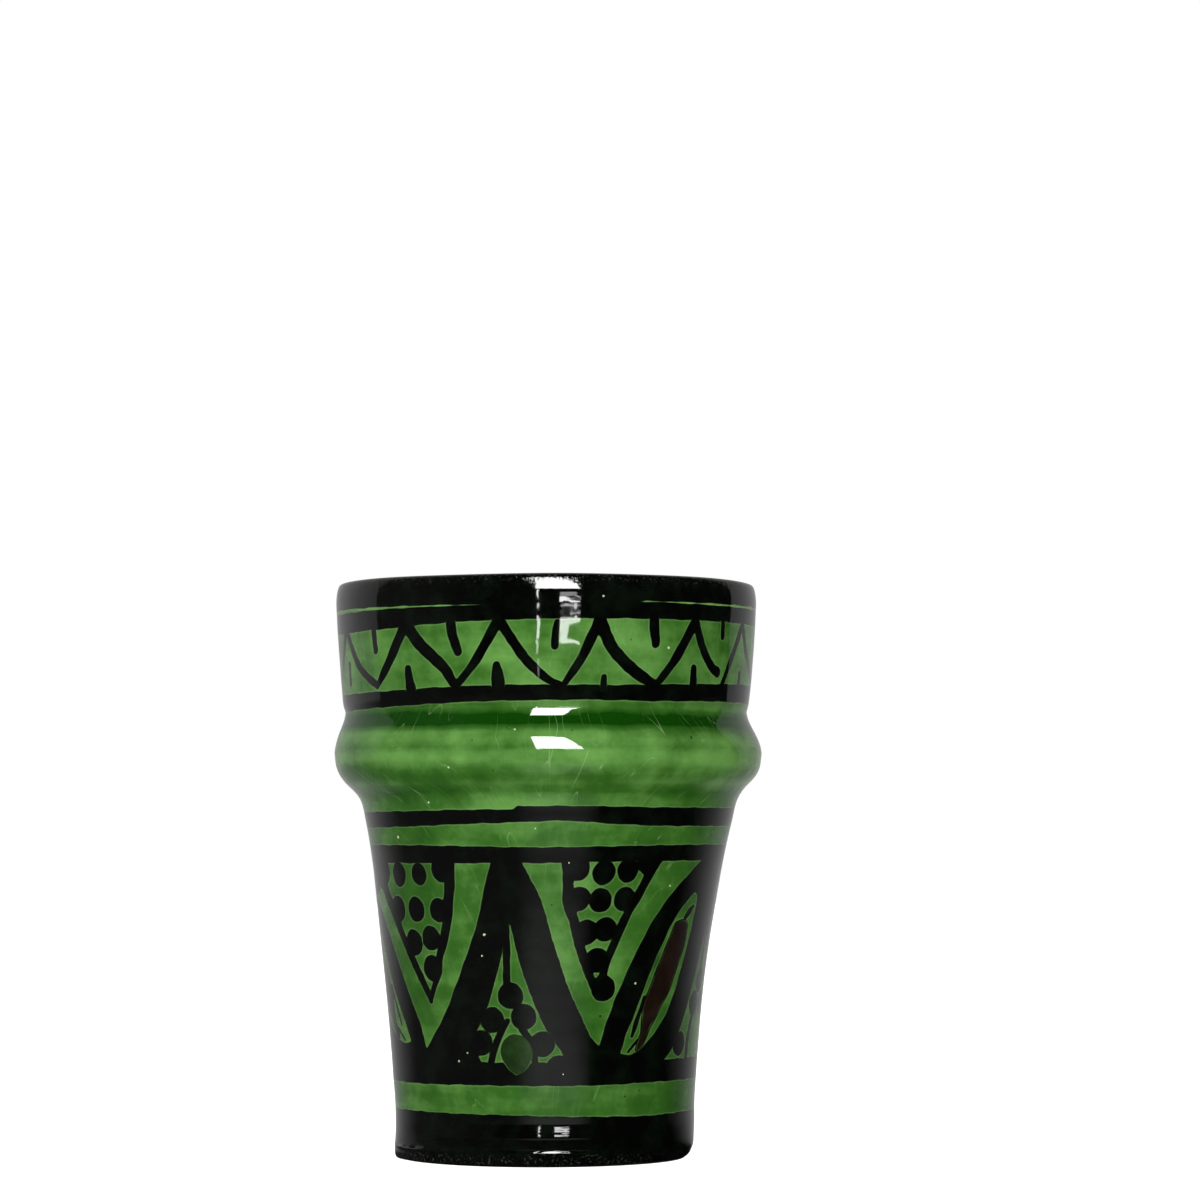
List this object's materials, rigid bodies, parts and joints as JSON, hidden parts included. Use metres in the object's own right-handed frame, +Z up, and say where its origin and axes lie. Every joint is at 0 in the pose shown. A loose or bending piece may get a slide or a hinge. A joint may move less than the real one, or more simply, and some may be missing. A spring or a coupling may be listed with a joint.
{
  "type": "beldi tea cup",
  "caption": "Hand-thrown glazed earthenware tea cup: flared beaker with a rolled bead under its collar, green glaze and black brush-painted petals, grapes and chevrons.",
  "frame": {"origin": "centre of the foot on the table", "axes": "+Z up along the axis of the cup; -Y is the painted side that the picture shows"},
  "size_m": [0.0812, 0.0812, 0.109],
  "materials": {
    "bare_clay": "matt biscuit, slightly sandy",
    "green_glaze": "glossy transparent green with fine crackle",
    "black_paint": "glossy black brushwork",
    "red_paint": "glossy red-brown brushwork",
    "dark_green_glaze": "glossy deep green drop"
  },
  "bodies": {
    "root": {"clay_body": "bare_clay", "outer_glaze": "green_glaze", "inner_glaze": "green_glaze", "lip_coat": "black_paint", "frieze_upper_ring": "black_paint", "frieze_chevrons": "black_paint", "frieze_hanging_ticks": "black_paint", "frieze_standing_ticks": "black_paint", "frieze_lower_ring": "black_paint", "shoulder_ring": "black_paint", "skirt_upper_ring": "black_paint", "petal_field": "black_paint", "grape_pendants": "black_paint", "berry_sprigs": "black_paint", "leaf_outlines": "black_paint", "leaf_fills": "red_paint", "dew_drops": "dark_green_glaze", "skirt_lower_ring": "black_paint", "foot_band": "black_paint"}
  },
  "joints": []
}
